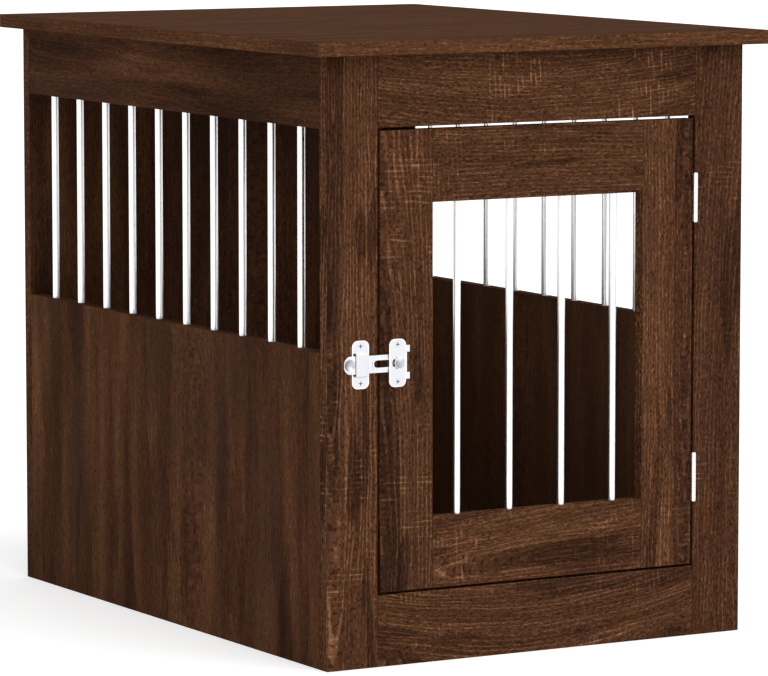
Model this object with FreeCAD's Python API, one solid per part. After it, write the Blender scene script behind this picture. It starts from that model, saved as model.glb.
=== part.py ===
"""Dog crate end table: a board-built crate with barred windows, a barred door and a slide latch.

Millimetres. X runs along the front, the front faces -Y and +Z is up. The origin is on the ground
below the middle of the table top.
"""
import FreeCAD, Part
import os

V = FreeCAD.Vector
RIGHTWARD = V(1, 0, 0)
LEFTWARD = V(-1, 0, 0)
BACKWARD = V(0, 1, 0)
FORWARD = V(0, -1, 0)
UPWARD = V(0, 0, 1)
DOWNWARD = V(0, 0, -1)

# ---------------------------------------------------------------- driving dimensions
# overall
table_width = 550.0
table_depth = 750.0
table_height = 650.0
top_overhang = 20.0            # of the table top beyond the crate, on all four sides

# board thicknesses
top_thickness = 15.0
frame_thickness = 15.0         # front frame
side_thickness = 15.0
back_thickness = 15.0
door_thickness = 15.0
floor_thickness = 12.0
edge_round = 0.8               # softened edges of every board

# front frame and sides
stile_width = 60.0
header_height = 75.0
plinth_height = 75.0
side_rail_height = 75.0
side_panel_height = 330.0

# floor and its cleats
floor_underside = 30.0
floor_play = 0.5               # between the floor panel and the walls round it
cleat_width = 20.0
cleat_height = 20.0
cleat_inset = 30.0             # from the front frame and the back panel to a cleat's ends

# door
door_gap = 3.0
door_stile_width = 63.0
door_top_rail_height = 76.0
door_bottom_rail_height = 75.0

# bars
bar_radius = 4.0
bar_wall = 1.0
bar_pitch = 64.0
bar_seat_depth = 10.0          # of each blind hole that holds a bar's end
bar_fit = 0.1                  # radial play of a bar in its hole

# dowels
dowel_radius = 4.0
dowel_length = 30.0
dowel_fit = 0.05
dowel_end_play = 0.5
dowel_spacing = 40.0           # between the two dowels of one joint
dowel_edge_seat = 15.0         # depth in a board's edge, where two edges meet
dowel_face_seat = 10.0         # depth in the face of a board

# cam fittings
cam_radius = 7.5
cam_height = 12.0
cam_fit = 0.1
cam_setback = 24.0             # from a board's end to the cam's axis
cam_bolt_radius = 3.0
cam_bolt_seat = 11.0           # depth to which the bolt is screwed into the other board
cam_bolt_head_radius = 3.5
cam_bolt_head_length = 3.0
cam_bolt_bore_radius = 4.0
cam_channel_play = 0.3
cam_slot_width = 1.6
cam_slot_depth = 2.5
panel_fixing_inset = 60.0      # of a lower panel's fixings from its top and bottom edges
rail_dowel_offset = 22.0       # of a side rail's dowel from the rail's middle
panel_dowel_offset = 45.0      # of a lower panel's dowels from its fixings, towards the middle
top_fixing_inset = 110.0       # of the table top's fixings from the side rails' ends
top_dowel_inset = 60.0         # of the table top's dowels from the side rails' ends

# countersunk screws: head radius, head height, shank radius, length
back_screw = dict(head_radius=4.8, head_height=4.0, shank_radius=2.6, length=50.0)
cleat_screw = dict(head_radius=3.5, head_height=3.0, shank_radius=1.75, length=30.0)
stop_screw = dict(head_radius=3.2, head_height=2.6, shank_radius=1.6, length=20.0)
hinge_screw = dict(head_radius=2.5, head_height=1.5, shank_radius=1.1, length=12.0)
latch_screw = dict(head_radius=3.3, head_height=2.0, shank_radius=1.5, length=15.0)
keeper_screw = dict(head_radius=3.3, head_height=2.0, shank_radius=1.5, length=12.0)
screw_fit = 0.05
drive_depth_share = 0.7        # of the head height
drive_width_share = 0.28       # of the head radius, for one arm of the cross
drive_length_share = 1.3       # of the head radius, tip to tip
cleat_screw_inset = 60.0

# hinges
hinge_height = 51.0
hinge_from_top = 84.0          # door's top edge to the upper hinge's middle
hinge_from_bottom = 94.5       # door's bottom edge to the lower hinge's middle
leaf_thickness = 1.2
leaf_depth = 13.0              # from the front of the boards
barrel_radius = 2.75
barrel_stand_off = 0.25        # between the barrel and the front of the boards
knuckle_count = 5
knuckle_gap = 0.2
hinge_pin_radius = 1.25
hinge_pin_fit = 0.05
hinge_pin_head_radius = 2.2
hinge_pin_head_height = 0.9
hinge_screw_spacing = 32.0

# latch
latch_level = 317.0            # height of the latch's middle above the ground
latch_plate_width = 20.0
latch_plate_height = 50.0
latch_sheet = 1.2              # thickness of base plate, keeper plate and roofs
latch_play = 0.2               # round the sliding bar
latch_screw_spacing = 38.6
latch_edge_round = 0.5
keeper_setback = 11.0          # from the frame stile's door-side edge
keeper_corner = 6.5
bridge_inset = 2.5             # from the keeper plate's door-side edge to the bridge
bridge_width = 14.5
bridge_height = 25.2
bridge_notch = 3.0
bridge_notch_height = 2.4
cup_reach = 10.6               # of the dished end beyond the keeper plate
cup_height = 19.0
cup_thickness = 3.6
cup_corner = 8.0
cup_dish_radius = 9.0
cup_dish_depth = 2.4
cover_setback = 8.0            # from the door's latch-side edge
cover_corner = 6.5
cover_bulge = 1.2
cover_end_wall = 1.0
dome_radius = 5.8
dome_rise = 1.2
dome_offset = 2.5              # of the dome from the cover's middle, away from the keeper
crescent_shift = 3.2
crescent_radius = 5.9
crescent_land = 0.3            # of flat roof between the dome and the crescent
base_margin = 1.0              # by which the base plate is smaller than the cover
ear_reach = 6.5
ear_inner = 10.5
ear_outer = 17.5
latch_bar_height = 18.2
latch_bar_thickness = 1.6
latch_rim_height = 0.6
latch_rim_width = 1.6
latch_bar_corner = 1.0
latch_slot_height = 7.6
latch_slot_start = 6.6         # from the bar's tip to the slot
latch_slot_end_web = 2.2
latch_tip_gap = 0.5            # between the drawn-back bar and the bridge
latch_throw = 11.0
latch_stud_radius = 3.0
latch_stud_tail_radius = 1.5

# door stop
stop_width = 40.0
stop_depth = 14.0
stop_on_header = 25.0
stop_behind_door = 11.0
stop_from_stile = 15.0
bumper_thickness = 2.0
bumper_gap = 0.3
bumper_margin = 1.0
stop_screw_spacing = 22.0

same_place = 0.001             # distance within which two places count as one

# ---------------------------------------------------------------- places worked out from them
left = top_overhang - table_width / 2
right = -left
front = top_overhang - table_depth / 2
back = -front
carcass_top = table_height - top_thickness

inner_left = left + side_thickness
inner_right = -inner_left
frame_back = front + frame_thickness
wall_back = back - back_thickness          # front face of the back panel
opening_left = left + stile_width
opening_right = -opening_left
opening_bottom = plinth_height
opening_top = carcass_top - header_height
side_rail_bottom = carcass_top - side_rail_height

door_left = opening_left + door_gap
door_right = opening_right - door_gap
door_bottom = opening_bottom + door_gap
door_top = opening_top - door_gap
door_back = front + door_thickness
door_window_left = door_left + door_stile_width
door_window_right = door_right - door_stile_width
door_window_bottom = door_bottom + door_bottom_rail_height
door_window_top = door_top - door_top_rail_height

hinge_x = (door_right + opening_right) / 2
hinge_y = front - barrel_radius - barrel_stand_off
hinge_levels = {"upper": door_top - hinge_from_top, "lower": door_bottom + hinge_from_bottom}

nodes = {}


# ---------------------------------------------------------------- helpers
def block(x0, x1, y0, y1, z0, z1):
    """Box between two corners."""
    return Part.makeBox(x1 - x0, y1 - y0, z1 - z0, V(x0, y0, z0))


def board(x0, x1, y0, y1, z0, z1, rounding=None):
    """Box with every edge softened."""
    solid = block(x0, x1, y0, y1, z0, z1)
    return solid.makeFillet(edge_round if rounding is None else rounding, solid.Edges)


def mirrored(shape):
    """Copy on the other side of the plane X = 0."""
    return shape.mirror(V(0, 0, 0), RIGHTWARD)


def both_sides(shapes):
    """The shapes of the left side and their copies on the right."""
    return shapes + [mirrored(shape) for shape in shapes]


def without(shape, tools):
    """The shape with every tool cut out of it."""
    return shape.cut(Part.makeCompound(tools)) if tools else shape


def spread(low, high, pitch):
    """Places a pitch apart, as many as fit, centred between low and high."""
    count = max(1, int((high - low) // pitch))
    first = (low + high - (count - 1) * pitch) / 2
    return [first + i * pitch for i in range(count)]


def placed(shape, point, direction):
    """A shape made along -Z from the origin, put at a point and turned to a direction."""
    shape.Placement = FreeCAD.Placement(point, FreeCAD.Rotation(DOWNWARD, direction))
    return shape


def screw(point, direction, head_radius, head_height, shank_radius, length):
    """Countersunk screw with a cross drive, its flush head at the point."""
    head = Part.makeCone(head_radius, shank_radius, head_height, V(0, 0, 0), DOWNWARD)
    shank = Part.makeCylinder(shank_radius, length - head_height, V(0, 0, -head_height), DOWNWARD)
    arm = head_radius * drive_length_share / 2
    half = head_radius * drive_width_share / 2
    depth = head_height * drive_depth_share
    cross = block(-arm, arm, -half, half, -depth, 0).fuse(block(-half, half, -arm, arm, -depth, 0))
    return placed(head.fuse(shank).cut(cross), point, direction)


def screw_hole(point, direction, head_radius, head_height, shank_radius, length):
    """Room for such a screw."""
    head = Part.makeCone(head_radius + screw_fit, shank_radius + screw_fit, head_height,
                         V(0, 0, 0), DOWNWARD)
    shank = Part.makeCylinder(shank_radius + screw_fit, length + screw_fit, V(0, 0, 0), DOWNWARD)
    return placed(head.fuse(shank), point, direction)


def dowel(face_point, direction, seat):
    """Wooden dowel across a joint: seat deep behind the joint's face, the rest ahead of it."""
    pin = Part.makeCylinder(dowel_radius, dowel_length, face_point - direction * seat, direction)
    return pin.makeChamfer(edge_round, [edge for edge in pin.Edges if isinstance(edge.Curve, Part.Circle)])


def dowel_hole(face_point, direction, seat):
    """Room for such a dowel in both boards."""
    start = face_point - direction * (seat + dowel_end_play)
    return Part.makeCylinder(dowel_radius + dowel_fit, dowel_length + 2 * dowel_end_play, start, direction)


def cam_bolt(face_point, direction):
    """Bolt screwed into one board's face, its head lying in the cam of the other board."""
    thread = Part.makeCylinder(cam_bolt_radius, cam_bolt_seat + cam_setback,
                               face_point - direction * cam_bolt_seat, direction)
    head = Part.makeCylinder(cam_bolt_head_radius, cam_bolt_head_length,
                             face_point + direction * (cam_setback - cam_bolt_head_length / 2), direction)
    return thread.fuse(head)


def cam_bolt_seat_hole(face_point, direction):
    """Blind hole for the bolt's thread."""
    depth = cam_bolt_seat + screw_fit
    return Part.makeCylinder(cam_bolt_radius + screw_fit, depth, face_point - direction * depth, direction)


def cam_disc(face_point, direction, inward):
    """Cam seen from the room side (inward), open towards the bolt."""
    centre = face_point + direction * cam_setback
    rim = centre + inward * (side_thickness / 2)
    disc = Part.makeCylinder(cam_radius, cam_height, rim - inward * cam_height, inward)
    channel_radius = cam_bolt_head_radius + cam_channel_play
    channel = Part.makeCylinder(channel_radius, cam_radius + cam_bolt_head_length + cam_channel_play,
                                centre - direction * cam_radius, direction)
    across = inward.cross(direction)
    corner = rim - direction * cam_radius - across * (cam_slot_width / 2) - inward * cam_slot_depth
    far = corner + direction * (2 * cam_radius) + across * cam_slot_width + inward * cam_slot_depth
    slot = block(min(corner.x, far.x), max(corner.x, far.x), min(corner.y, far.y), max(corner.y, far.y),
                 min(corner.z, far.z), max(corner.z, far.z))
    return disc.cut(channel).cut(slot)


def cam_room(face_point, direction, inward):
    """Pocket for the cam and the bore that leads the bolt to it."""
    centre = face_point + direction * cam_setback
    rim = centre + inward * (side_thickness / 2)
    depth = cam_height + cam_fit
    pocket = Part.makeCylinder(cam_radius + cam_fit, depth, rim - inward * depth, inward)
    bore = Part.makeCylinder(cam_bolt_bore_radius, cam_setback, face_point, direction)
    return pocket.fuse(bore)


def add(node, shapes):
    """Keep a node's shape: one solid, or a group of separate solids."""
    nodes[node] = Part.makeCompound(shapes) if isinstance(shapes, list) else shapes


# ---------------------------------------------------------------- fixings of the crate
side_x = left + side_thickness / 2
rail_middle_z = side_rail_bottom + side_rail_height / 2
fixing_levels = [panel_fixing_inset, side_panel_height - panel_fixing_inset, rail_middle_z]
side_dowel_levels = [panel_fixing_inset + panel_dowel_offset,
                     side_panel_height - panel_fixing_inset - panel_dowel_offset,
                     rail_middle_z + rail_dowel_offset]
top_fixing_places = [frame_back + top_fixing_inset, wall_back - top_fixing_inset]
top_dowel_places = [frame_back + top_dowel_inset, wall_back - top_dowel_inset]

front_cams = [V(side_x, frame_back, z) for z in fixing_levels]
top_cams = [V(side_x, y, carcass_top) for y in top_fixing_places]
back_screw_heads = [V(side_x, back, z) for z in fixing_levels]

# each dowel: point on the joint's face, direction into the board ahead, depth behind the face
side_dowels = [(V(side_x, frame_back, z), BACKWARD, dowel_face_seat) for z in side_dowel_levels]
side_dowels += [(V(side_x, wall_back, z), FORWARD, dowel_face_seat) for z in side_dowel_levels]
top_dowels = [(V(side_x, y, carcass_top), DOWNWARD, dowel_face_seat) for y in top_dowel_places]
frame_dowels = [(V(opening_left, front + frame_thickness / 2, middle + step), RIGHTWARD, dowel_edge_seat)
                for middle in (plinth_height / 2, carcass_top - header_height / 2)
                for step in (-dowel_spacing / 2, dowel_spacing / 2)]
door_dowels = [(V(door_window_left, front + door_thickness / 2, middle + step), RIGHTWARD, dowel_edge_seat)
               for middle in ((door_bottom + door_window_bottom) / 2, (door_top + door_window_top) / 2)
               for step in (-dowel_spacing / 2, dowel_spacing / 2)]

side_dowel_holes = [dowel_hole(*each) for each in side_dowels]
top_dowel_holes = [dowel_hole(*each) for each in top_dowels]
frame_dowel_holes = [dowel_hole(*each) for each in frame_dowels]
door_dowel_holes = [dowel_hole(*each) for each in door_dowels]
back_screw_holes = [screw_hole(head, FORWARD, **back_screw) for head in back_screw_heads]

add("side_dowels", both_sides([dowel(*each) for each in side_dowels]))
add("top_dowels", both_sides([dowel(*each) for each in top_dowels]))
add("frame_dowels", both_sides([dowel(*each) for each in frame_dowels]))
add("door_dowels", both_sides([dowel(*each) for each in door_dowels]))
add("back_screws", both_sides([screw(head, FORWARD, **back_screw) for head in back_screw_heads]))
add("frame_cam_bolts", both_sides([cam_bolt(point, BACKWARD) for point in front_cams]))
add("frame_cam_discs", both_sides([cam_disc(point, BACKWARD, RIGHTWARD) for point in front_cams]))
add("top_cam_bolts", both_sides([cam_bolt(point, DOWNWARD) for point in top_cams]))
add("top_cam_discs", both_sides([cam_disc(point, DOWNWARD, RIGHTWARD) for point in top_cams]))


# ---------------------------------------------------------------- bars
def upright_bar(x, y, lower_board_top, upper_board_bottom):
    """Tube that stands in the two boards above and below a window."""
    z0 = lower_board_top - bar_seat_depth + bar_fit
    length = upper_board_bottom + bar_seat_depth - bar_fit - z0
    tube = Part.makeCylinder(bar_radius, length, V(x, y, z0))
    return tube.cut(Part.makeCylinder(bar_radius - bar_wall, length, V(x, y, z0)))


def bar_hole(x, y, face_z, direction):
    """Blind hole for a bar's end."""
    return Part.makeCylinder(bar_radius + bar_fit, bar_seat_depth, V(x, y, face_z), direction)


side_bar_places = spread(frame_back, wall_back, bar_pitch)
side_bars = [upright_bar(side_x, y, side_panel_height, side_rail_bottom) for y in side_bar_places]
add("side_bars_left", side_bars)
add("side_bars_right", [mirrored(bar) for bar in side_bars])

door_bar_places = spread(door_window_left, door_window_right, bar_pitch)
door_middle_y = front + door_thickness / 2
add("door_bars", [upright_bar(x, door_middle_y, door_window_bottom, door_window_top)
                  for x in door_bar_places])


# ---------------------------------------------------------------- sides, back, top and floor
def side_boards():
    """Lower panel and top rail of the left side."""
    panel = board(left, inner_left, frame_back, wall_back, 0, side_panel_height)
    rail = board(left, inner_left, frame_back, wall_back, side_rail_bottom, carcass_top)
    shared = side_dowel_holes + back_screw_holes
    shared += [cam_room(point, BACKWARD, RIGHTWARD) for point in front_cams]
    panel_cuts = [bar_hole(side_x, y, side_panel_height, DOWNWARD) for y in side_bar_places]
    panel_cuts += cleat_screw_holes
    rail_cuts = [bar_hole(side_x, y, side_rail_bottom, UPWARD) for y in side_bar_places]
    rail_cuts += top_dowel_holes
    rail_cuts += [cam_room(point, DOWNWARD, RIGHTWARD) for point in top_cams]
    return without(panel, shared + panel_cuts), without(rail, shared + rail_cuts)


cleat_top = floor_underside
cleat_start = frame_back + cleat_inset
cleat_end = wall_back - cleat_inset
cleat_screw_places = [cleat_start + cleat_screw_inset, (cleat_start + cleat_end) / 2,
                      cleat_end - cleat_screw_inset]
cleat_screw_heads = [V(inner_left + cleat_width, y, cleat_top - cleat_height / 2)
                     for y in cleat_screw_places]
cleat_screw_holes = [screw_hole(head, LEFTWARD, **cleat_screw) for head in cleat_screw_heads]
cleat = without(board(inner_left, inner_left + cleat_width, cleat_start, cleat_end,
                      cleat_top - cleat_height, cleat_top), cleat_screw_holes)

side_panel, side_rail = side_boards()
add("side_panel_left", side_panel)
add("side_panel_right", mirrored(side_panel))
add("side_rail_left", side_rail)
add("side_rail_right", mirrored(side_rail))
add("floor_cleat_left", cleat)
add("floor_cleat_right", mirrored(cleat))
add("cleat_screws", both_sides([screw(head, LEFTWARD, **cleat_screw) for head in cleat_screw_heads]))
add("floor_panel", board(inner_left + floor_play, inner_right - floor_play, frame_back + floor_play,
                         wall_back - floor_play, floor_underside, floor_underside + floor_thickness))
add("back_panel", without(board(left, right, wall_back, back, 0, carcass_top),
                          both_sides(side_dowel_holes + back_screw_holes)))

top_seats = top_dowel_holes + [cam_bolt_seat_hole(point, DOWNWARD) for point in top_cams]
add("table_top", without(board(left - top_overhang, right + top_overhang, front - top_overhang,
                               back + top_overhang, carcass_top, table_height),
                         both_sides(top_seats)))


# ---------------------------------------------------------------- hinges
hinge_screw_y = front + leaf_depth / 2
knuckle_length = (hinge_height - (knuckle_count - 1) * knuckle_gap) / knuckle_count


def knuckle_span(index, middle):
    """Lowest and highest point of one knuckle."""
    low = middle - hinge_height / 2 + index * (knuckle_length + knuckle_gap)
    return low, low + knuckle_length


def hinge_screw_heads(face_x, middle):
    """Points where the screws of one leaf sit."""
    half = hinge_screw_spacing / 2
    return [V(face_x, hinge_screw_y, middle - half), V(face_x, hinge_screw_y, middle + half)]


def hinge_leaf(face_x, inner_x, middle, own, direction):
    """Leaf against a board's edge (face_x), with its own knuckles round the pin."""
    low, high = middle - hinge_height / 2, middle + hinge_height / 2
    x0, x1 = min(face_x, inner_x), max(face_x, inner_x)
    leaf = block(x0, x1, front, front + leaf_depth, low, high)
    for index in range(knuckle_count):
        if index % 2 != own:
            continue
        z0, z1 = knuckle_span(index, middle)
        knuckle = Part.makeCylinder(barrel_radius, z1 - z0, V(hinge_x, hinge_y, z0))
        neck = block(x0, x1, hinge_y, front, z0, z1)
        leaf = leaf.fuse(knuckle).fuse(neck)
    bore = Part.makeCylinder(hinge_pin_radius + hinge_pin_fit, high - low, V(hinge_x, hinge_y, low))
    screws = [screw_hole(head, direction, **hinge_screw) for head in hinge_screw_heads(inner_x, middle)]
    return leaf.cut(bore).cut(Part.makeCompound(screws)).removeSplitter()


def hinge_pin(middle):
    """Pin with a flat head at each end."""
    low, high = middle - hinge_height / 2, middle + hinge_height / 2
    pin = Part.makeCylinder(hinge_pin_radius, high - low, V(hinge_x, hinge_y, low))
    for z in (low - hinge_pin_head_height, high):
        head = Part.makeCylinder(hinge_pin_head_radius, hinge_pin_head_height, V(hinge_x, hinge_y, z))
        pin = pin.fuse(head)
    return pin.removeSplitter()


frame_leaf_x = opening_right - leaf_thickness
door_leaf_x = door_right + leaf_thickness
frame_hinge_heads = []
door_hinge_heads = []
for name, level in hinge_levels.items():
    add(name + "_hinge_frame_leaf", hinge_leaf(opening_right, frame_leaf_x, level, 0, RIGHTWARD))
    add(name + "_hinge_door_leaf", hinge_leaf(door_right, door_leaf_x, level, 1, LEFTWARD))
    add(name + "_hinge_pin", hinge_pin(level))
    frame_hinge_heads += hinge_screw_heads(frame_leaf_x, level)
    door_hinge_heads += hinge_screw_heads(door_leaf_x, level)
add("hinge_frame_screws", [screw(head, RIGHTWARD, **hinge_screw) for head in frame_hinge_heads])
add("hinge_door_screws", [screw(head, LEFTWARD, **hinge_screw) for head in door_hinge_heads])
frame_hinge_holes = [screw_hole(head, RIGHTWARD, **hinge_screw) for head in frame_hinge_heads]
door_hinge_holes = [screw_hole(head, LEFTWARD, **hinge_screw) for head in door_hinge_heads]

# ---------------------------------------------------------------- latch
# depths are measured outwards from the front of the boards
bar_underside = latch_sheet + latch_play
rim_top = bar_underside + latch_bar_thickness + latch_rim_height
roof_underside = rim_top + latch_play
roof_top = roof_underside + latch_sheet
tunnel_half = latch_bar_height / 2 + latch_play

keeper_right = opening_left - keeper_setback
keeper_left = keeper_right - latch_plate_width
bridge_right = keeper_right - bridge_inset
bridge_left = bridge_right - bridge_width
cover_left = door_left + cover_setback
cover_right = cover_left + latch_plate_width
bar_tip = bridge_right + latch_tip_gap
bar_rear = cover_right + cover_bulge - cover_end_wall - latch_play
slot_end = bar_rear - latch_slot_end_web
stud_x = slot_end - latch_throw - latch_stud_radius - latch_play
latch_screw_levels = [latch_level - latch_screw_spacing / 2, latch_level + latch_screw_spacing / 2]


def slab(x0, x1, half_height, depth0, depth1):
    """Box on the front of the crate, centred on the latch's level, between two depths."""
    return block(x0, x1, front - depth1, front - depth0, latch_level - half_height,
                 latch_level + half_height)


def rounded_slab(x0, x1, half_height, depth0, depth1, corner, only_left=False):
    """Such a box with its upright outline's corners rounded."""
    solid = slab(x0, x1, half_height, depth0, depth1)
    corners = [edge for edge in solid.Edges if edge.BoundBox.YLength > depth1 - depth0 - same_place
               and (not only_left or edge.CenterOfMass.x < (x0 + x1) / 2)]
    return solid.makeFillet(corner, corners)


def soften_outline(shape, depth, radius):
    """Round the edges that lie in the outward face at a depth."""
    edges = [edge for edge in shape.Edges
             if abs(edge.BoundBox.YMin - (front - depth)) < same_place
             and abs(edge.BoundBox.YMax - (front - depth)) < same_place]
    return shape.makeFillet(radius, edges)


def latch_keeper():
    """Keeper plate with the bridge that the bar slides under and a dished end beyond it."""
    plate = rounded_slab(keeper_left, keeper_right, latch_plate_height / 2, 0, latch_sheet, keeper_corner)
    bridge = slab(bridge_left, bridge_right, bridge_height / 2, 0, roof_top)
    bridge = soften_outline(bridge, roof_top, latch_sheet)
    cup = rounded_slab(keeper_left - cup_reach, bridge_left, cup_height / 2, 0, cup_thickness,
                       cup_corner, only_left=True)
    cup = soften_outline(cup, cup_thickness, latch_edge_round)
    dish_x = (keeper_left - cup_reach + bridge_left) / 2
    dish_centre = V(dish_x, front - cup_thickness - cup_dish_radius + cup_dish_depth, latch_level)
    keeper = plate.fuse(bridge).fuse(cup).cut(Part.makeSphere(cup_dish_radius, dish_centre))
    keeper = keeper.cut(slab(bridge_left, bridge_right, tunnel_half, latch_sheet, roof_underside))
    for side in (-1, 1):
        inner = latch_level + side * tunnel_half
        outer = latch_level + side * (tunnel_half + bridge_notch_height)
        keeper = keeper.cut(block(bridge_left - bridge_notch / 2, bridge_left + bridge_notch / 2,
                                  front - roof_underside, front, min(inner, outer), max(inner, outer)))
    return keeper.removeSplitter()


def latch_base():
    """Base plate under the bar, with the two ears that show beyond the cover."""
    plate = rounded_slab(cover_left + base_margin / 2, cover_right - base_margin / 2,
                         latch_plate_height / 2 - base_margin, 0, latch_sheet, cover_corner - base_margin)
    for side in (-1, 1):
        inner = latch_level + side * ear_inner
        outer = latch_level + side * ear_outer
        plate = plate.fuse(block(cover_right - cover_corner, cover_right + ear_reach,
                                 front - latch_sheet, front, min(inner, outer), max(inner, outer)))
    tail = Part.makeCylinder(latch_stud_tail_radius + screw_fit, latch_sheet,
                             V(stud_x, front, latch_level), FORWARD)
    return plate.cut(tail).removeSplitter()


def latch_cover():
    """Cover over the bar's rear half: tunnel, end wall, raised dome and crescent window."""
    cover = rounded_slab(cover_left, cover_right, latch_plate_height / 2, latch_sheet, roof_top,
                         cover_corner)
    bulge = slab(cover_right - cover_corner, cover_right + cover_bulge, tunnel_half + cover_end_wall,
                 latch_sheet, roof_top)
    cover = cover.fuse(bulge).removeSplitter()
    cover = soften_outline(cover, roof_top, latch_edge_round)
    dome_x = (cover_left + cover_right) / 2 + dome_offset
    sphere_radius = (dome_radius ** 2 + dome_rise ** 2) / (2 * dome_rise)
    sphere = Part.makeSphere(sphere_radius, V(dome_x, front - roof_top - dome_rise + sphere_radius,
                                              latch_level))
    around = dome_radius + dome_rise
    cap = sphere.common(slab(dome_x - around, dome_x + around, around, roof_top, roof_top + around))
    cover = cover.fuse(cap)
    tunnel_end = cover_right + cover_bulge - cover_end_wall
    cover = cover.cut(slab(cover_left, tunnel_end, tunnel_half, latch_sheet, roof_underside))
    crescent = Part.makeCylinder(crescent_radius, roof_top - rim_top + dome_rise,
                                 V(dome_x - crescent_shift, front - rim_top, latch_level), FORWARD)
    crescent = crescent.cut(Part.makeCylinder(dome_radius + crescent_land, roof_top + 2 * dome_rise,
                                              V(dome_x, front, latch_level), FORWARD))
    return cover.cut(crescent)


def latch_bar():
    """Flat sliding bar with a long slot and a raised rim round it."""
    half = latch_bar_height / 2
    flat_top = bar_underside + latch_bar_thickness
    body = rounded_slab(bar_tip, bar_rear, half, bar_underside, flat_top, latch_bar_corner)
    slot_start = bar_tip + latch_slot_start
    slot_half = latch_slot_height / 2
    rim = rounded_slab(slot_start - latch_rim_width, slot_end + latch_rim_width / 2,
                       slot_half + latch_rim_width, flat_top, rim_top, slot_half)
    slot = rounded_slab(slot_start, slot_end, slot_half, 0, roof_top, slot_half - latch_play)
    return body.fuse(rim).cut(slot).removeSplitter()


def latch_stud():
    """Stud riveted in the base plate, standing in the bar's slot as its stop."""
    head = Part.makeCylinder(latch_stud_radius, rim_top - latch_sheet,
                             V(stud_x, front - latch_sheet, latch_level), FORWARD)
    tail = Part.makeCylinder(latch_stud_tail_radius, latch_sheet, V(stud_x, front, latch_level), FORWARD)
    return head.fuse(tail)


keeper_x = (keeper_left + keeper_right) / 2
cover_x = (cover_left + cover_right) / 2
keeper_screw_heads = [V(keeper_x, front - latch_sheet, z) for z in latch_screw_levels]
latch_screw_heads = [V(cover_x, front - roof_top, z) for z in latch_screw_levels]
keeper_screw_holes = [screw_hole(head, BACKWARD, **keeper_screw) for head in keeper_screw_heads]
latch_screw_holes = [screw_hole(head, BACKWARD, **latch_screw) for head in latch_screw_heads]
add("latch_keeper", without(latch_keeper(), keeper_screw_holes))
add("keeper_screws", [screw(head, BACKWARD, **keeper_screw) for head in keeper_screw_heads])
add("latch_base", without(latch_base(), latch_screw_holes))
add("latch_cover", without(latch_cover(), latch_screw_holes))
add("latch_screws", [screw(head, BACKWARD, **latch_screw) for head in latch_screw_heads])
add("latch_bar", latch_bar())
add("latch_stud", latch_stud())

# ---------------------------------------------------------------- door stop behind the header
stop_left = opening_left + stop_from_stile
stop_right = stop_left + stop_width
stop_low = door_top - stop_behind_door
stop_high = opening_top + stop_on_header
recess = bumper_thickness + bumper_gap
stop_screw_heads = [V((stop_left + stop_right) / 2 + step, frame_back + stop_depth,
                      (opening_top + stop_high) / 2)
                    for step in (-stop_screw_spacing / 2, stop_screw_spacing / 2)]
stop_screw_holes = [screw_hole(head, FORWARD, **stop_screw) for head in stop_screw_heads]
stop = block(stop_left, stop_right, frame_back, frame_back + stop_depth, stop_low, stop_high)
stop = stop.cut(block(stop_left, stop_right, frame_back, frame_back + recess, stop_low, opening_top))
add("door_stop", without(stop, stop_screw_holes))
add("door_stop_screws", [screw(head, FORWARD, **stop_screw) for head in stop_screw_heads])
add("door_bumper", block(stop_left + bumper_margin, stop_right - bumper_margin, frame_back + bumper_gap,
                         frame_back + recess, stop_low + bumper_margin, door_top))

# ---------------------------------------------------------------- front frame
stile = board(left, opening_left, front, frame_back, 0, carcass_top)
stile_holes = side_dowel_holes + frame_dowel_holes
stile_holes += [cam_bolt_seat_hole(point, BACKWARD) for point in front_cams]
add("front_stile_left", without(stile, stile_holes + keeper_screw_holes))
add("front_stile_right", without(mirrored(without(stile, stile_holes)), frame_hinge_holes))
add("plinth_rail", without(board(opening_left, opening_right, front, frame_back, 0, plinth_height),
                           both_sides(frame_dowel_holes)))
add("header_rail", without(board(opening_left, opening_right, front, frame_back, opening_top, carcass_top),
                           both_sides(frame_dowel_holes) + stop_screw_holes))

# ---------------------------------------------------------------- door frame
door_stile = without(board(door_left, door_window_left, front, door_back, door_bottom, door_top),
                     door_dowel_holes)
lower_bar_holes = [bar_hole(x, door_middle_y, door_window_bottom, DOWNWARD) for x in door_bar_places]
upper_bar_holes = [bar_hole(x, door_middle_y, door_window_top, UPWARD) for x in door_bar_places]
add("door_stile_left", without(door_stile, latch_screw_holes))
add("door_stile_right", without(mirrored(door_stile), door_hinge_holes))
add("door_rail_bottom", without(board(door_window_left, door_window_right, front, door_back,
                                      door_bottom, door_window_bottom),
                                both_sides(door_dowel_holes) + lower_bar_holes))
add("door_rail_top", without(board(door_window_left, door_window_right, front, door_back,
                                   door_window_top, door_top),
                             both_sides(door_dowel_holes) + upper_bar_holes))

os.makedirs("parts", exist_ok=True)
for name, shape in nodes.items():
    shape.exportStep("parts/" + name + ".step")
    print("%-24s solids %2d  valid %s  volume %.0f"
          % (name, len(shape.Solids), shape.isValid(), shape.Volume))
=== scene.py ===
"""Looks of the dog crate end table: finishes, studio floor, light and camera round the fixed frame.

Lengths are in metres, except inside the finishes, which work in millimetres of the object's own frame.
"""
import math
import bpy
from mathutils import Matrix, Vector


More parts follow.
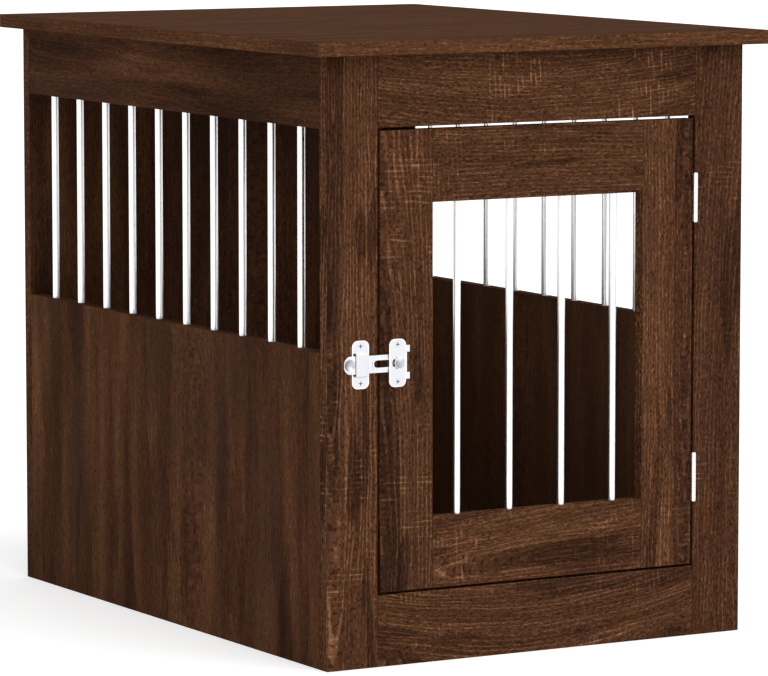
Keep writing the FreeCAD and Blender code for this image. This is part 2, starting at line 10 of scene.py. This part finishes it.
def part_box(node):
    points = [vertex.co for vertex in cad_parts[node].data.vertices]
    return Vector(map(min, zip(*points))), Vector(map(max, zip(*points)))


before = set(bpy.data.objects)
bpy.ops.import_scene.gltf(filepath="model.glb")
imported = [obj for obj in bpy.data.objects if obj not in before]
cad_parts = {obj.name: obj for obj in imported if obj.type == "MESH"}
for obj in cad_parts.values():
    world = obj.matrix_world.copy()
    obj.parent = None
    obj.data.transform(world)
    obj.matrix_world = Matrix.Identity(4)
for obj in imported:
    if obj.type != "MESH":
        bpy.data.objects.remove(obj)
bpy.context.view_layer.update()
scene = bpy.context.scene

MM_PER_M = 1000.0
FULL_TURN = 2 * math.pi
FINE = 3.0                      # detail of the noise in the finest marks


# ---------------------------------------------------------------- node trees
def linear(red, green, blue):
    """Colour written in the usual 0-255 values, as the linear colour that a shader takes."""
    def channel(value):
        share = value / 255
        return share / 12.92 if share <= 0.04045 else ((share + 0.055) / 1.055) ** 2.4
    return (channel(red), channel(green), channel(blue), 1.0)


class Value:
    """A number that varies over a surface, with plain arithmetic."""

    def __init__(self, tree, socket):
        self.tree = tree
        self.socket = socket

    def __add__(self, other):
        return self.tree.calc("ADD", self, other)

    def __sub__(self, other):
        return self.tree.calc("SUBTRACT", self, other)

    def __rsub__(self, other):
        return self.tree.calc("SUBTRACT", other, self)

    def __mul__(self, other):
        return self.tree.calc("MULTIPLY", self, other)

    def __truediv__(self, other):
        return self.tree.calc("DIVIDE", self, other)

    def __abs__(self):
        return self.tree.calc("ABSOLUTE", self)


class Tree:
    """Short ways to add nodes to the tree of a material or world."""

    def __init__(self, owner):
        owner.use_nodes = True
        self.nodes = owner.node_tree.nodes
        self.links = owner.node_tree.links
        self.nodes.clear()

    def add(self, kind, **settings):
        """A new node of one kind."""
        node = self.nodes.new(kind)
        for key, value in settings.items():
            setattr(node, key, value)
        return node

    def feed(self, socket, value):
        """Link a value or socket to an input, or set a plain number or colour on it."""
        if isinstance(value, Value):
            value = value.socket
        if isinstance(value, bpy.types.NodeSocket):
            self.links.new(value, socket)
        else:
            socket.default_value = value

    def calc(self, operation, *values):
        """One step of arithmetic."""
        node = self.add("ShaderNodeMath", operation=operation)
        for socket, value in zip(node.inputs, values):
            self.feed(socket, value)
        return Value(self, node.outputs[0])

    def root(self, value):
        """Square root."""
        return self.calc("SQRT", value)

    def above(self, value, limit):
        """1 where the value is above the limit, else 0."""
        return self.calc("GREATER_THAN", value, limit)

    def step(self, value, start, end):
        """Smooth step: 0 up to start, 1 from end on."""
        node = self.add("ShaderNodeMapRange", interpolation_type="SMOOTHSTEP")
        for key, item in (("Value", value), ("From Min", start), ("From Max", end)):
            self.feed(node.inputs[key], item)
        return Value(self, node.outputs["Result"])

    def noise(self, x, y, z, detail=2.0):
        """Noise about 0, mostly within half a unit, whose cells are one unit wide."""
        place = self.add("ShaderNodeCombineXYZ")
        for socket, value in zip(place.inputs, (x, y, z)):
            self.feed(socket, value)
        node = self.add("ShaderNodeTexNoise", noise_dimensions="3D")
        node.inputs["Scale"].default_value = 1.0
        node.inputs["Detail"].default_value = detail
        self.feed(node.inputs["Vector"], place.outputs[0])
        return Value(self, node.outputs["Fac"]) - 0.5

    def axes(self, vector):
        """The three parts of a vector as a dict."""
        parts = self.add("ShaderNodeSeparateXYZ")
        self.feed(parts.inputs[0], vector)
        return {name: Value(self, parts.outputs[name]) for name in "XYZ"}

    def place(self):
        """Where a point lies in the object's frame, in mm."""
        scaled = self.add("ShaderNodeVectorMath", operation="SCALE")
        self.feed(scaled.inputs[0], self.add("ShaderNodeTexCoord").outputs["Object"])
        scaled.inputs["Scale"].default_value = MM_PER_M
        return self.axes(scaled.outputs[0])

    def facing(self):
        """Which way the surface faces in the object's frame."""
        return self.axes(self.add("ShaderNodeTexCoord").outputs["Normal"])

    def grains(self, wide, high, detail=2.0):
        """Noise fixed in the object's frame, in cells wide mm across and high mm tall."""
        place = self.place()
        return self.noise(place["X"] / wide, place["Y"] / wide, place["Z"] / high, detail)

    def colours(self, value, stops):
        """Colour ramp: stops are (place, colour)."""
        node = self.add("ShaderNodeValToRGB")
        self.feed(node.inputs[0], value)
        ramp = node.color_ramp.elements
        while len(ramp) < len(stops):
            ramp.new(0.5)
        for element, (place, colour) in zip(ramp, stops):
            element.position = place
            element.color = colour
        return node.outputs["Color"]

    def tinted(self, factor, first, second):
        """First colour, moved towards the second by the factor."""
        node = self.add("ShaderNodeMix", data_type="RGBA")
        self.feed(node.inputs[0], factor)
        self.feed(node.inputs[6], first)
        self.feed(node.inputs[7], second)
        return node.outputs[2]


def finish_material(tree, colour, roughness, height=None, relief=0.0, **constants):
    """Principled surface at the end of a tree. Relief is the bump's depth in metres."""
    shader = tree.add("ShaderNodeBsdfPrincipled")
    tree.feed(shader.inputs["Base Color"], colour)
    tree.feed(shader.inputs["Roughness"], roughness)
    for key, value in constants.items():
        shader.inputs[key.replace("_", " ")].default_value = value
    if height is not None:
        bump = tree.add("ShaderNodeBump")
        bump.inputs["Strength"].default_value = 1.0
        bump.inputs["Distance"].default_value = relief
        tree.feed(bump.inputs["Height"], height)
        tree.feed(shader.inputs["Normal"], bump.outputs[0])
    output = tree.add("ShaderNodeOutputMaterial")
    tree.links.new(shader.outputs[0], output.inputs["Surface"])


def give(material, *names):
    """Put a material on CAD nodes."""
    for name in names:
        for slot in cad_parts[name].material_slots:
            slot.material = material


# ---------------------------------------------------------------- brown oak
OAK_STOPS = [
    (0.00, linear(36, 22, 15)),
    (0.30, linear(59, 36, 24)),
    (0.50, linear(81, 51, 33)),
    (0.72, linear(107, 71, 47)),
    (1.00, linear(148, 107, 78)),
]
# what greyed stretches lean to, and the painted light that the face towards the cabin leans to
OAK_GREY = linear(58, 43, 36)
OAK_PAINTED_LIGHT = linear(152, 108, 82)

OAK_LEVEL = 0.45                # where plain wood lies on the ramp of OAK_STOPS
SQUARE_ON = 0.7                 # least part of a normal along an axis for a surface that faces that way
SEED_STEP = 13.7                # from one board to the next in the noise
LAYER_STEP = 31.3               # from one layer of a board's noise to the next

OAK_ROUGHNESS = 0.86
LINE_GLOSS = 0.05               # how much less rough a light line is
PORE_MATT = 0.08                # how much rougher a pore is
OAK_RELIEF = 0.00008            # depth in metres of a full unit of the three heights below
LINE_RISE = 0.2
FIBRE_RISE = 0.6
PORE_SINK = 0.5

# layers of noise on a board: width across and length along its grain in mm, number and detail
SWAY = (95.0, 420.0, 1, 1.0)
WOBBLE = (17.0, 90.0, 2, 2.0)
HEART = (25.0, 190.0, 4, 1.0)
DRIFT = (14.0, 160.0, 5, 1.0)
FIBRE = (1.5, 11.0, 7, 2.0)
FLECK = (1.3, 5.0, 8, 1.0)
PORE = (1.3, 4.5, 9, 1.0)
SAW_PATCH = (30.0, 48.0, 10, 1.0)
SAWN_STRETCH = (26.0, 40.0, 10, 1.0)
SAW_WAVER = (60.0, 26.0, 11, 1.0)
SAW_BREAK = (22.0, 4.0, 12, 1.0)
# the same, but the width is given in the call, and for the last one the length too
BAND = (320.0, 3, 2.0)
GREY = (380.0, 13, 1.0)
UNBROKEN = (6, 2.0)

# where noise or a wave turns into a mark: the mark starts at the first limit and is full at the second
HEART_LIMITS = (0.09, 0.115)
LINE_LIMITS = (0.1, 0.9)
UNBROKEN_LIMITS = (-0.18, 0.08)
FLECK_LIMITS = (0.05, 0.18)
PORE_LIMITS = (0.03, 0.16)
GREY_LIMITS = (0.0, 0.16)
SAW_PATCH_LIMITS = (0.13, 0.22)
SAWN_LIMITS = (-0.10, 0.10)
SAW_LIMITS = (0.25, 0.9)
SAW_BREAK_LIMITS = (-0.10, 0.12)

GREY_SPREAD = 3.0               # how much wider the greyed stretches are than the bands
FLAT_RUN = 7.0                  # how much longer than wide a mark gets where the rings lie flat
SWAY_REACH = 16.0               # mm, how far the rings' middle line wanders with one unit of its noise
WOBBLE_REACH = 7.0              # mm, the same for the rings themselves
CORE_BLUR = 0.8                 # mm to either side of the core's edge
LINE_SPACING = 4.4              # mm between the rings' light lines
LINE_WIDTH = 6.0                # mm across a stretch in which a light line is broken or not
LINE_DRIFT = 12.0               # radians that the lines shift with one unit of their noise
SAW_SPACING = 5.6               # mm between saw marks
SAW_LEAN = 0.05                 # slope of the saw marks across the board
SAW_DRIFT = 9.0                 # radians that they shift with one unit of their noise
STRAY_SAWS = 0.7                # strength of the saw marks outside the listed stretches
SAWN_FULL = 0.5                 # share of a listed stretch's reach that is fully marked


class Board:
    """One board's own directions, in mm from its middle, and the noise and marks that follow them.

    On the faces u runs across the grain, v along it and w through the board.
    """

    def __init__(self, tree, node, along, across, seed):
        self.tree = tree
        self.seed = seed
        low, high = (corner * MM_PER_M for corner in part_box(node))
        middle = dict(zip("XYZ", (low + high) / 2))
        thick = ({"X", "Y", "Z"} - {along, across}).pop()
        place = tree.place()
        place = {axis: place[axis] - middle[axis] for axis in "XYZ"}
        facing = tree.facing()
        # 1 on the face towards the cabin, where oak() paints light
        self.painted_inner_lift = tree.above(facing[thick] * math.copysign(1.0, -middle[thick]), SQUARE_ON)

        # the bands on the board's ends and long edges have their grain lengthwise too
        on_end = tree.above(abs(facing[along]), SQUARE_ON)
        self.on_edge = tree.above(abs(facing[across]), SQUARE_ON)
        self.on_band = on_end + self.on_edge
        on_face = 1.0 - on_end - self.on_edge
        self.u = place[across] * on_face + place[thick] * self.on_band
        self.v = place[along] * (1.0 - on_end) + place[across] * on_end
        self.w = place[thick] * on_face + place[along] * on_end + place[across] * self.on_edge

    def layer(self, number):
        """Where one layer of this board's noise starts."""
        return self.seed * SEED_STEP + number * LAYER_STEP

    def straight(self, wide, long, number, detail):
        """Noise that follows the board."""
        through = self.w / wide + self.layer(number)
        return self.tree.noise(self.u / wide, self.v / long, through, detail)

    def grow_rings(self, pith, depth, taper, apex, slant, bend):
        """Set ring, the distance in mm from the line that the rings are drawn round."""
        sway = self.straight(*SWAY) * SWAY_REACH
        wobble = self.straight(*WOBBLE) * WOBBLE_REACH
        deep = self.w + abs(self.v - apex) * taper + depth
        aside = self.u - pith - self.v * slant - self.v * self.v * bend + sway
        self.ring = self.tree.root(aside * aside + deep * deep) + wobble

    def grown(self, wide, long, number, detail):
        """Noise that follows the rings, in marks that stay short where the rings lie flat."""
        along_ring = self.u / (wide * FLAT_RUN) + self.layer(number)
        return self.tree.noise(self.ring / wide, self.v / long, along_ring, detail)

    def light_lines(self):
        """One light line to each ring."""
        beat = self.ring * (FULL_TURN / LINE_SPACING) + self.grown(*DRIFT) * LINE_DRIFT
        return self.tree.step(self.tree.calc("SINE", beat), *LINE_LIMITS)

    def saw_marks(self, sawn):
        """Faint marks across the grain, clear on the listed stretches: middle and reach along the board."""
        tree = self.tree
        patch = tree.step(self.straight(*SAW_PATCH), *SAW_PATCH_LIMITS) * STRAY_SAWS
        uneven = tree.step(self.straight(*SAWN_STRETCH), *SAWN_LIMITS)
        for middle, reach in sawn:
            within = tree.step(abs(self.v - middle) * -1.0, -reach, -reach * SAWN_FULL)
            patch = patch + within * uneven
        waver = self.straight(*SAW_WAVER) * SAW_DRIFT
        beat = (self.v + self.u * SAW_LEAN) * (FULL_TURN / SAW_SPACING) + waver
        unbroken = tree.step(self.straight(*SAW_BREAK), *SAW_BREAK_LIMITS)
        return patch * (tree.step(tree.calc("SINE", beat), *SAW_LIMITS) * unbroken)


def oak(node, along, across, seed, pith=160.0, depth=40.0, taper=0.02, apex=0.0, slant=0.0, bend=0.0,
        core=0.0, sawn=(), run=34.0, band_width=12.0, bands=0.40, hearts=0.15, lines=0.20, fibres=0.42,
        flecks=0.21, pores=0.26, saws=0.27, greys=0.1, tone=0.0, edging=0.0, painted_inner_light=0.0,
        specular=0.02):
    """Printed oak on one board. Its grain runs along one axis.

    Rings are drawn round a line that lies pith mm across the board and depth mm off its middle, towards
    lower X, Y or Z. Along the board the line gets deeper by taper away from the apex, leans by slant and
    curves by bend. Rings within core mm of it are darker, and their light lines stay unbroken for about
    run mm. Sawn lists the stretches with saw marks. Tone lightens the board, edging its ends and long
    edges, and the inner-light strength paints light on its face towards the cabin. Widths are in mm, and
    the rest are strengths.
    """
    material = bpy.data.materials.new("oak_" + node)
    tree = Tree(material)
    board = Board(tree, node, along, across, seed)
    board.grow_rings(pith, depth, taper, apex, slant, bend)

    band = board.grown(band_width, *BAND)
    in_core = tree.step(board.ring * -1.0, -core - CORE_BLUR, -core + CORE_BLUR)
    heart = tree.step(board.grown(*HEART), *HEART_LIMITS) + in_core
    line = board.light_lines()
    unbroken = tree.step(board.grown(LINE_WIDTH, run, *UNBROKEN), *UNBROKEN_LIMITS)
    fibre = board.grown(*FIBRE)
    fleck = tree.step(board.grown(*FLECK), *FLECK_LIMITS)
    pore = tree.step(board.grown(*PORE), *PORE_LIMITS)

    light = line * unbroken * lines + fleck * (board.on_edge + 1.0) * flecks + board.saw_marks(sawn) * saws
    dark = heart * hearts + pore * pores
    # painted light: the face towards the cabin is made paler, as if more light reached it
    painted_inner_lift = board.painted_inner_lift * painted_inner_light
    level = band * bands + fibre * fibres + light - dark + board.on_band * edging
    level = level + (OAK_LEVEL + tone) + painted_inner_lift
    greyed = tree.step(board.grown(band_width * GREY_SPREAD, *GREY), *GREY_LIMITS) * greys
    colour = tree.tinted(greyed, tree.colours(level, OAK_STOPS), OAK_GREY)
    colour = tree.tinted(painted_inner_lift, colour, OAK_PAINTED_LIGHT)
    roughness = OAK_ROUGHNESS - line * LINE_GLOSS + pore * PORE_MATT
    height = line * LINE_RISE + fibre * FIBRE_RISE - pore * PORE_SINK
    finish_material(tree, colour, roughness, height, OAK_RELIEF, Specular_IOR_Level=specular)
    give(material, node)


VERTICAL = dict(along="Z", across="X")
UPRIGHT_SIDE = dict(along="Z", across="Y")
LEVEL = dict(along="X", across="Z")
LEVEL_SIDE = dict(along="Y", across="Z")
FLAT = dict(along="X", across="Y")
SIDE_LOOK = dict(band_width=30.0, greys=0.30, bands=0.8, hearts=0.10, lines=0.07, fibres=0.5, flecks=0.09,
                 pores=0.15, saws=0.12)

oak("table_top", **FLAT, seed=1, pith=-420, depth=40, taper=0.01, band_width=24.0, bands=0.32,
    hearts=0.07, lines=0.10, flecks=0.10, pores=0.14, saws=0.10, tone=-0.01, edging=0.11, specular=0.008)
oak("header_rail", **LEVEL, seed=2, pith=-70, depth=12, taper=0.03, apex=-60, bend=0.0005,
    sawn=((-28, 48), (130, 62)), saws=0.36)
oak("plinth_rail", **LEVEL, seed=3, pith=-52, depth=14, taper=0.02, apex=-120, slant=0.03, bend=0.0006,
    run=110, lines=0.24, sawn=((-150, 22), (130, 30)))
oak("front_stile_left", **VERTICAL, seed=4, pith=-24, depth=4, taper=0.045, apex=220, core=12, hearts=0.2,
    run=110, lines=0.27, flecks=0.16, sawn=((-93, 72), (-230, 25)), saws=0.34, tone=0.03, edging=0.01)
oak("front_stile_right", **VERTICAL, seed=5, pith=48, depth=16, taper=0.05, apex=-60, slant=0.03, run=60,
    sawn=((170, 40), (-150, 30)), tone=-0.04)
oak("door_stile_left", **VERTICAL, seed=6, pith=-30, depth=8, taper=0.06, apex=-290, core=24, hearts=0.18,
    run=90, lines=0.25, flecks=0.17, sawn=((160, 72), (-135, 75)), saws=0.31, tone=-0.01)
oak("door_stile_right", **VERTICAL, seed=7, pith=22, depth=8, taper=0.03, apex=40, core=14,
    sawn=((-205, 45),), tone=0.07)
oak("door_rail_top", **LEVEL, seed=8, pith=-46, depth=8, taper=0.06, apex=30, slant=-0.03,
    sawn=((-112, 24),))
oak("door_rail_bottom", **LEVEL, seed=9, pith=-12, depth=4, taper=0.10, apex=70, slant=0.06, core=13,
    hearts=0.12, sawn=((100, 30), (-85, 22)), tone=0.05)
oak("side_panel_left", **UPRIGHT_SIDE, seed=10, pith=-60, depth=60, tone=0.03, **SIDE_LOOK)
# painted light on this panel's face towards the cabin
oak("side_panel_right", **UPRIGHT_SIDE, seed=11, pith=90, depth=60, tone=0.03, painted_inner_light=0.2, **SIDE_LOOK)
oak("side_rail_left", **LEVEL_SIDE, seed=12, pith=80, tone=0.03, **SIDE_LOOK)
oak("side_rail_right", **LEVEL_SIDE, seed=13, pith=-70, **SIDE_LOOK)
oak("back_panel", **VERTICAL, seed=14, pith=40, depth=60, tone=0.02, **SIDE_LOOK)
oak("floor_panel", **FLAT, seed=15, pith=60, depth=50, **SIDE_LOOK)
oak("floor_cleat_left", **LEVEL_SIDE, seed=16)
oak("floor_cleat_right", **LEVEL_SIDE, seed=17)
oak("door_stop", **LEVEL, seed=18)


# ---------------------------------------------------------------- bars, hinges and hidden fixings
CLOUD_WIDTH = 9.0               # mm
CLOUD_HEIGHT = 14.0             # mm
MARKS_IN_TINT = 0.5             # how much of the marks goes into the tint beside the clouds
TINT_LIMITS = (-0.35, 0.35)


def metal(name, colour, shade, roughness, spread, brush, cell, relief):
    """Bare metal with fine marks and broad clouds.

    Cell is the marks' width in mm, and brush is how much longer they are along Z. Spread is how far the
    roughness varies. Relief is the marks' depth in metres, where they have any.
    """
    material = bpy.data.materials.new(name)
    tree = Tree(material)
    mark = tree.grains(cell, cell * brush, FINE)
    cloud = tree.grains(CLOUD_WIDTH, CLOUD_HEIGHT)
    tint = tree.tinted(tree.step(cloud + mark * MARKS_IN_TINT, *TINT_LIMITS), colour, shade)
    varied = mark * spread + cloud * spread + roughness
    finish_material(tree, tint, varied, mark if relief else None, relief, Metallic=1.0)
    return material


chrome = metal("polished_steel", linear(253, 252, 251), linear(247, 246, 247), roughness=0.30, spread=0.02,
               brush=12.0, cell=0.6, relief=0.0)
nickel = metal("bright_nickel", linear(250, 246, 243), linear(238, 234, 232), roughness=0.24, spread=0.06,
               brush=3.0, cell=0.5, relief=0.000005)
satin = metal("satin_nickel", linear(226, 226, 229), linear(212, 212, 216), roughness=0.34,
              spread=0.06, brush=1.0, cell=0.6, relief=0.0)
# darker metal on the latch stud: painted shade for the dark opening in the cover where the stud shows
stud_painted_shade = metal("stud_painted_shade", linear(120, 121, 127), linear(100, 101, 107), roughness=0.40, spread=0.06,
                   brush=1.0, cell=0.6, relief=0.0)
zinc = metal("zinc", linear(205, 207, 212), linear(176, 178, 184), roughness=0.35, spread=0.20,
             brush=1.0, cell=0.8, relief=0.00002)

give(chrome, "side_bars_left", "side_bars_right", "door_bars")
for end in ("upper", "lower"):
    give(nickel, end + "_hinge_frame_leaf", end + "_hinge_door_leaf", end + "_hinge_pin")
give(nickel, "hinge_frame_screws", "hinge_door_screws")
give(satin, "latch_base", "latch_bar")
# painted shade on the latch stud
give(stud_painted_shade, "latch_stud")
give(zinc, "back_screws", "cleat_screws", "door_stop_screws", "frame_cam_bolts", "frame_cam_discs",
     "top_cam_bolts", "top_cam_discs")


SPECKLE_STOPS = (0.3, 0.7)      # where the dark and the light of a speckled material lie
SPECKLE_SPREAD = 0.3            # how far its roughness varies


def speckled(name, dark, light, cell, detail, roughness, relief):
    """Matt material with an even fine grain. Cell is the grain's width in mm, relief its depth in metres."""
    material = bpy.data.materials.new(name)
    tree = Tree(material)
    grain = tree.grains(cell, cell, detail)
    colour = tree.colours(grain + 0.5, list(zip(SPECKLE_STOPS, (dark, light))))
    finish_material(tree, colour, grain * SPECKLE_SPREAD + roughness, grain, relief)
    return material


beech = speckled("beech", linear(176, 132, 88), linear(205, 166, 120), cell=1.2, detail=FINE, roughness=0.6,
                 relief=0.00005)
rubber = speckled("bumper_rubber", linear(24, 24, 25), linear(38, 38, 40), cell=0.4, detail=2.0,
                  roughness=0.7, relief=0.00004)

give(beech, "side_dowels", "top_dowels", "frame_dowels", "door_dowels")
give(rubber, "door_bumper")


# ---------------------------------------------------------------- latch plates and screws
# the latch's plates are rounded rectangles as high as their nodes, with sizes in mm
PLATE_WIDTH = 20.0
PLATE_CORNER = 6.5
RIM_WIDTH = 1.3
RIM_FULL = 0.6                  # share of its width, from the outline inwards, where the rim is full
RIM_ENDS = (-0.4, -0.1)         # mm inside the outline, so the rim fades just beyond it
FORM_FULL = 0.85                # share of its radius up to which the dish or dome is full
DISH_FROM_LEFT = 6.8            # of the dish's middle from the keeper's left end
DISH_RADIUS = 6.4
DOME_FROM_LEFT = 12.5           # of the dome's middle from the cover's left edge
DOME_RADIUS = 5.9
# painted shade in the screws' recesses
RECESS_DEPTH = (0.15, 0.4)      # below the screw's face, from where its recess darkens to where it is dark
SATIN_CELL = 0.7                # mm
SATIN_ROUGHNESS = 0.34
SATIN_SPREAD = 0.06
SATIN_LIMITS = (-0.3, 0.3)

PLATE_FACE = linear(219, 220, 224)
PLATE_SHADE = linear(208, 209, 214)
# painted highlight for the plates' rounded rims
PLATE_RIM_HIGHLIGHT = linear(253, 244, 239)
RECESS_PAINTED_SHADE = linear(112, 113, 120)
# painted shade on the dish and the dome: dark on their left side, lighter on their right
DISH_PAINTED_SHADE = (linear(128, 130, 136), linear(196, 197, 202))
DOME_PAINTED_SHADE = (linear(150, 151, 156), linear(198, 199, 203))


def satin_skin(tree):
    """Colour and roughness of the latch's satin metal."""
    grain = tree.grains(SATIN_CELL, SATIN_CELL, FINE)
    colour = tree.tinted(tree.step(grain, *SATIN_LIMITS), PLATE_FACE, PLATE_SHADE)
    return colour, grain * SATIN_SPREAD + SATIN_ROUGHNESS


def latch_plate(node, plate_left, form_middle, form_radius, form_shade):
    """Satin plate with a painted highlight along its rim, and painted shade on a round form (dome or dish),
    darker to the left.
    """
    low, high = (corner * MM_PER_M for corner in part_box(node))
    middle_z = (low.z + high.z) / 2
    material = bpy.data.materials.new(node)
    tree = Tree(material)
    place = tree.place()
    colour, roughness = satin_skin(tree)

    def past_straight(distance, half_size):
        """How far a point lies past the straight part of an edge, towards the corner."""
        return tree.calc("MAXIMUM", abs(distance) - (half_size - PLATE_CORNER), 0.0)

    past_x = past_straight(place["X"] - (plate_left + PLATE_WIDTH / 2), PLATE_WIDTH / 2)
    past_z = past_straight(place["Z"] - middle_z, (high.z - low.z) / 2)
    outside = tree.root(past_x * past_x + past_z * past_z) - PLATE_CORNER
    inner_edge = tree.step(outside, -RIM_WIDTH, -RIM_WIDTH * RIM_FULL)
    rim_highlight = inner_edge * tree.step(outside * -1.0, *RIM_ENDS)
    # painted highlight along the plate's rounded rim
    colour = tree.tinted(rim_highlight, colour, PLATE_RIM_HIGHLIGHT)

    from_left = place["X"] - form_middle
    from_middle = place["Z"] - middle_z
    distance = tree.root(from_left * from_left + from_middle * from_middle)
    within = tree.step(distance * -1.0, -form_radius, -form_radius * FORM_FULL)
    # painted shade across the dome or dish, darker to the left
    grey = tree.tinted(tree.step(from_left, -form_radius, form_radius), *form_shade)
    colour = tree.tinted(within, colour, grey)
    finish_material(tree, colour, roughness, Metallic=1.0)
    give(material, node)


def screw_metal(node):
    """Satin screw with painted shade in its recess below the head's face."""
    material = bpy.data.materials.new(node)
    tree = Tree(material)
    colour, roughness = satin_skin(tree)
    below_face = tree.place()["Y"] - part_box(node)[0].y * MM_PER_M
    # painted shade, deeper into the recess
    colour = tree.tinted(tree.step(below_face, *RECESS_DEPTH), colour, RECESS_PAINTED_SHADE)
    finish_material(tree, colour, roughness, Metallic=1.0)
    give(material, node)


keeper_low, keeper_high = (corner * MM_PER_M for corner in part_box("latch_keeper"))
cover_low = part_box("latch_cover")[0] * MM_PER_M
latch_plate("latch_keeper", keeper_high.x - PLATE_WIDTH, keeper_low.x + DISH_FROM_LEFT, DISH_RADIUS,
            DISH_PAINTED_SHADE)
latch_plate("latch_cover", cover_low.x, cover_low.x + DOME_FROM_LEFT, DOME_RADIUS, DOME_PAINTED_SHADE)
screw_metal("latch_screws")
screw_metal("keeper_screws")


# ---------------------------------------------------------------- studio
def backdrop_rays(tree):
    """1 for the rays that see the backdrop itself: camera, glossy and transmission rays."""
    path = tree.add("ShaderNodeLightPath")
    camera, glossy, transmission = (Value(tree, path.outputs[key]) for key in
                                    ("Is Camera Ray", "Is Glossy Ray", "Is Transmission Ray"))
    return tree.calc("MINIMUM", camera + glossy + transmission, 1.0)


def studio_world(fill):
    """White to look at, and an even fill light."""
    world = bpy.data.worlds.new("studio")
    scene.world = world
    tree = Tree(world)
    light = tree.add("ShaderNodeBackground")
    light.inputs["Color"].default_value = (1.0, 1.0, 1.0, 1.0)
    tree.feed(light.inputs["Strength"], backdrop_rays(tree) * (1.0 - fill) + fill)
    output = tree.add("ShaderNodeOutputWorld")
    tree.links.new(light.outputs[0], output.inputs["Surface"])


def studio_floor(half_size, pale, glow):
    """Pale floor at ground level; glow lifts it to white for the camera and keeps its shadows."""
    mesh = bpy.data.meshes.new("studio_floor")
    corners = [(x * half_size, y * half_size, 0) for x, y in ((-1, -1), (1, -1), (1, 1), (-1, 1))]
    mesh.from_pydata(corners, [], [(0, 1, 2, 3)])
    floor = bpy.data.objects.new("studio_floor", mesh)
    scene.collection.objects.link(floor)
    material = bpy.data.materials.new("pale_floor")
    tree = Tree(material)
    matt = tree.add("ShaderNodeBsdfDiffuse")
    matt.inputs["Color"].default_value = (pale, pale, pale, 1.0)
    lift = tree.add("ShaderNodeEmission")
    tree.feed(lift.inputs["Strength"], backdrop_rays(tree) * glow)
    both = tree.add("ShaderNodeAddShader")
    tree.links.new(matt.outputs[0], both.inputs[0])
    tree.links.new(lift.outputs[0], both.inputs[1])
    output = tree.add("ShaderNodeOutputMaterial")
    tree.links.new(both.outputs[0], output.inputs["Surface"])
    mesh.materials.append(material)


def key_light(towards, strength, softness):
    """Wide soft light from one direction. Softness is its width in degrees."""
    lamp = bpy.data.lights.new("key", "SUN")
    lamp.energy = strength
    lamp.angle = math.radians(softness)
    key = bpy.data.objects.new("key", lamp)
    scene.collection.objects.link(key)
    key.rotation_euler = Vector(towards).to_track_quat("Z", "Y").to_euler()


studio_world(fill=0.60)
studio_floor(half_size=60.0, pale=0.9, glow=0.45)
key_light(towards=(0.15, -0.40, 0.35), strength=1.55, softness=70)


# ---------------------------------------------------------------- camera
SENSOR_MM = 36.0
FARTHEST = 200.0                # metres, past the studio floor's corners


def photo_camera(place, heading, pitch, focal_pixels, width_pixels):
    """Camera without roll or lens shift.

    Heading is in degrees from +Y towards +X, and pitch in degrees above the horizon.
    """
    data = bpy.data.cameras.new("camera")
    data.sensor_width = SENSOR_MM
    data.lens = focal_pixels / width_pixels * SENSOR_MM
    data.clip_end = FARTHEST
    camera = bpy.data.objects.new("camera", data)
    scene.collection.objects.link(camera)
    turn, rise = math.radians(heading), math.radians(pitch)
    ahead = Vector((math.sin(turn) * math.cos(rise), math.cos(turn) * math.cos(rise), math.sin(rise)))
    right = ahead.cross(Vector((0, 0, 1))).normalized()
    up = right.cross(ahead)
    camera.matrix_world = Matrix.Translation(place) @ Matrix((right, up, -ahead)).transposed().to_4x4()
    scene.camera = camera


photo_camera(place=(-2.64248, -4.61776, 0.89662), heading=29.938, pitch=-6.4195, focal_pixels=4808.0,
             width_pixels=768)
scene.view_settings.view_transform = "Standard"
